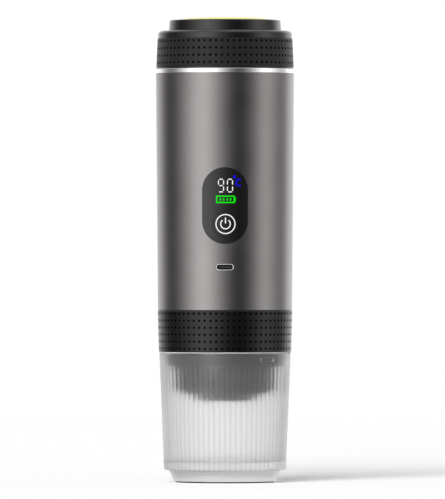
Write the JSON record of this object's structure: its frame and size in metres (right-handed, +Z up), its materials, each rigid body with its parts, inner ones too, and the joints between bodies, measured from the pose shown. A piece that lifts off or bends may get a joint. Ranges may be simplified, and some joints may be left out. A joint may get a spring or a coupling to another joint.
{
  "type": "portable capsule coffee maker",
  "caption": "Cylindrical portable capsule coffee maker: ribbed clear cup, dimpled brew head and screw lid, satin metal body with display window, power button and charging port.",
  "frame": {"origin": "bottom centre of the cup's foot", "axes": "+Z up along the body's axis, -Y towards the display window, +X to the viewer's right"},
  "size_m": [0.07, 0.07, 0.2351],
  "materials": {
    "clear_plastic": "clear moulded copolyester, polished",
    "black_plastic": "black moulded plastic",
    "grip_rubber": "soft-touch dimpled grip",
    "chamber_plastic": "dark grey moulded plastic",
    "stainless": "stainless steel",
    "silicone": "grey silicone",
    "red_silicone": "red silicone gasket",
    "anodised_body": "satin gun-metal anodised",
    "frame_plastic": "natural white moulded plastic",
    "battery_cell": "blue sleeve over a metal can",
    "pump_brass": "machined brass",
    "motor_can": "plated steel can",
    "heater_metal": "thick-film heater on a metal band",
    "polished_ring": "polished bright ring",
    "circuit_board": "green solder mask",
    "black_gloss": "gloss black window",
    "gear_plastic": "natural high-strength gear plastic",
    "lid_plastic": "dark grey satin plastic",
    "lime_plastic": "yellow-lime moulded disc"
  },
  "bodies": {
    "cup": {"cup": "clear_plastic"},
    "brew_head": {"brew_collar": "black_plastic", "brew_grip_band": "grip_rubber", "brew_chamber": "chamber_plastic", "capsule_basket": "black_plastic", "lower_needle_plate": "stainless", "cup_seal": "silicone"},
    "brew_gasket": {"brew_gasket": "red_silicone"},
    "housing": {"body_tube": "anodised_body", "brew_base": "black_plastic", "upper_needle_plate": "stainless", "inner_frame": "frame_plastic", "frame_top_plate": "frame_plastic", "frame_screws": "stainless", "base_screws": "stainless", "battery_cell_1": "battery_cell", "battery_cell_2": "battery_cell", "battery_cell_3": "battery_cell", "battery_straps": "stainless", "pump_cover": "pump_brass", "pump_body": "pump_brass", "idler_pin": "stainless", "shaft_seal": "silicone", "outlet_oring": "silicone", "pump_screws": "stainless", "pump_motor": "motor_can", "motor_end_cap": "black_plastic", "suction_tube": "silicone", "tank_outlet_fitting": "stainless", "outlet_nut": "stainless", "outlet_strainer": "stainless", "temperature_probe": "stainless", "heater_band": "heater_metal", "water_tank": "stainless", "neck_ring": "polished_ring", "neck_collar": "black_plastic", "control_board": "circuit_board", "board_components": "black_plastic", "board_screws": "stainless", "display_module": "frame_plastic", "display_window": "black_gloss", "tact_switch": "black_plastic", "usb_port": "stainless"},
    "power_button": {"button_cap": "black_gloss", "switch_plunger": "frame_plastic"},
    "pump_drive": {"drive_gear": "gear_plastic", "drive_shaft": "stainless"},
    "pump_idler": {"idler_gear": "gear_plastic"},
    "lid_seal": {"lid_seal": "silicone"},
    "lid": {"lid_cap": "lid_plastic", "lid_grip_band": "grip_rubber", "lid_top_disc": "lime_plastic", "lid_liner": "frame_plastic", "vent_valve": "silicone"}
  },
  "joints": [
    {"name": "cup_release", "type": "slide", "parent": "cup", "child": "brew_head", "axis": [0, 0, 1], "range_m": [0, 0.035]},
    {"name": "brew_lift", "type": "slide", "parent": "brew_head", "child": "brew_gasket", "axis": [0, 0, 1], "range_m": [0, 0.045]},
    {"name": "brew_twist", "type": "hinge", "parent": "brew_gasket", "child": "housing", "pos_m": [0, 0, 0.0756], "axis": [0, 0, 1], "range_deg": [0, 360]},
    {"name": "power_press", "type": "slide", "parent": "housing", "child": "power_button", "axis": [0, 1, 0], "range_m": [0, 0.0006], "stiffness_N_per_m": 1500, "springref_m": -0.001},
    {"name": "pump_spin", "type": "hinge", "parent": "housing", "child": "pump_drive", "pos_m": [0, -0.004, 0.098], "axis": [0, 0, 1], "continuous": true},
    {"name": "idler_spin", "type": "hinge", "parent": "housing", "child": "pump_idler", "pos_m": [0, 0.004, 0.098], "axis": [0, 0, 1], "continuous": true},
    {"name": "lid_lift", "type": "slide", "parent": "housing", "child": "lid_seal", "axis": [0, 0, 1], "range_m": [0, 0.03]},
    {"name": "lid_twist", "type": "hinge", "parent": "lid_seal", "child": "lid", "pos_m": [0, 0, 0.2234], "axis": [0, 0, 1], "range_deg": [0, 360]}
  ],
  "couplings": [
    {"joint": "brew_twist", "follows": "brew_lift", "rad_per_m": 139.6},
    {"joint": "idler_spin", "follows": "pump_spin", "ratio": -1},
    {"joint": "lid_twist", "follows": "lid_lift", "rad_per_m": 209.4}
  ]
}
